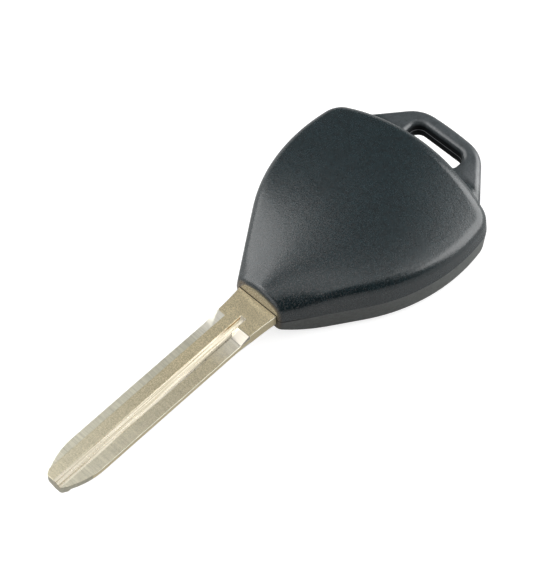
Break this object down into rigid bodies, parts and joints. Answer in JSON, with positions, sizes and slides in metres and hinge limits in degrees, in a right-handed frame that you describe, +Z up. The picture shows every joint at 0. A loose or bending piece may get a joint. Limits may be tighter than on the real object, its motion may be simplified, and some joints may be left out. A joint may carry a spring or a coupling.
{
  "type": "key fob",
  "caption": "Car key with a fixed uncut blade in a domed two-part head, a ring loop at the far end and sprung buttons on its flat face.",
  "frame": {"origin": "bottom centre of the bounding box: on the rim of the button face that the key lies on, midway between the blade's tip and the end of the ring loop, on the key's centre line", "axes": "+X along the key from the blade's tip towards the ring loop, +Y across the head, +Z up out of the domed rear cover"},
  "size_m": [0.0958, 0.0376, 0.0125],
  "materials": {
    "head_plastic": "fine-grained dark moulded plastic",
    "blade_metal": "nickel silver, milled strips and matte ribs",
    "button_plastic": "satin dark plastic",
    "mat_rubber": "matte silicone rubber",
    "case_plastic": "matte dark plastic",
    "gasket_rubber": "matte silicone rubber",
    "board_laminate": "green solder mask",
    "dome_steel": "thin spring steel",
    "chip_plastic": "black moulding compound",
    "can_metal": "plated can",
    "ceramic": "pale ceramic",
    "cell_steel": "satin nickel-plated steel",
    "contact_metal": "plated spring strip"
  },
  "bodies": {
    "head": {"rear_cover": "head_plastic", "front_cover": "head_plastic", "key_blade": "blade_metal", "transponder_chip": "chip_plastic", "keypad_mat": "mat_rubber", "module_case": "case_plastic", "module_lid": "case_plastic", "module_gasket": "gasket_rubber", "circuit_board": "board_laminate", "dome_lock": "dome_steel", "dome_unlock": "dome_steel", "dome_panic": "dome_steel", "microcontroller": "chip_plastic", "crystal": "can_metal", "resonator": "can_metal", "trimmer": "ceramic", "battery_cell": "cell_steel", "contact_positive": "contact_metal", "contact_negative": "contact_metal"},
    "lock_button": {"button_lock": "button_plastic"},
    "unlock_button": {"button_unlock": "button_plastic"},
    "panic_button": {"button_panic": "button_plastic"}
  },
  "joints": [
    {"name": "press_lock", "type": "slide", "parent": "head", "child": "lock_button", "axis": [0, 0, 1], "range_m": [0, 0.0004], "stiffness_N_per_m": 4000, "springref_m": -0.0002, "deforming": ["keypad_mat"]},
    {"name": "press_unlock", "type": "slide", "parent": "head", "child": "unlock_button", "axis": [0, 0, 1], "range_m": [0, 0.0004], "stiffness_N_per_m": 4000, "springref_m": -0.0002, "deforming": ["keypad_mat"]},
    {"name": "press_panic", "type": "slide", "parent": "head", "child": "panic_button", "axis": [0, 0, 1], "range_m": [0, 0.0004], "stiffness_N_per_m": 4000, "springref_m": -0.0002, "deforming": ["keypad_mat"]}
  ]
}
